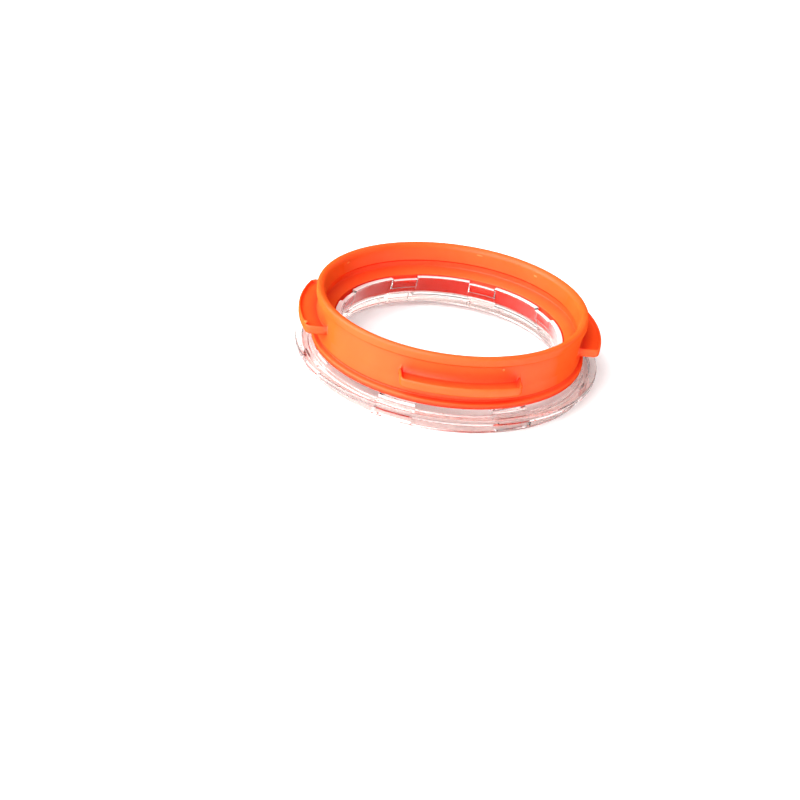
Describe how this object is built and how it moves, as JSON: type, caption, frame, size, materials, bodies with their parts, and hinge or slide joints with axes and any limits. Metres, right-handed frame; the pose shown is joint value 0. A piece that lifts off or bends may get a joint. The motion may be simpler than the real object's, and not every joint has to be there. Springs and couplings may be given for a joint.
{
  "type": "locking cuff ring",
  "caption": "Round cuff or leg ring: a coloured ring with scooped finger lugs, pushed down over the collar of a clear flanged ring.",
  "frame": {"origin": "on the ring's axis, at the level the clear ring's skirt stands on", "axes": "+Z along the ring's axis, from the clear ring towards the coloured rim; +X through the middle of one finger lug"},
  "size_m": [0.1, 0.1, 0.023],
  "materials": {
    "clear_plastic": "clear, polished",
    "coloured_plastic": "satin, slightly soft"
  },
  "bodies": {
    "clear_ring": {"clear_collar_ring": "clear_plastic"},
    "coloured_ring": {"coloured_lug_ring": "coloured_plastic"}
  },
  "joints": [
    {"name": "ring_pull_off", "type": "slide", "parent": "clear_ring", "child": "coloured_ring", "axis": [0, 0, 1], "range_m": [0, 0.03]}
  ]
}
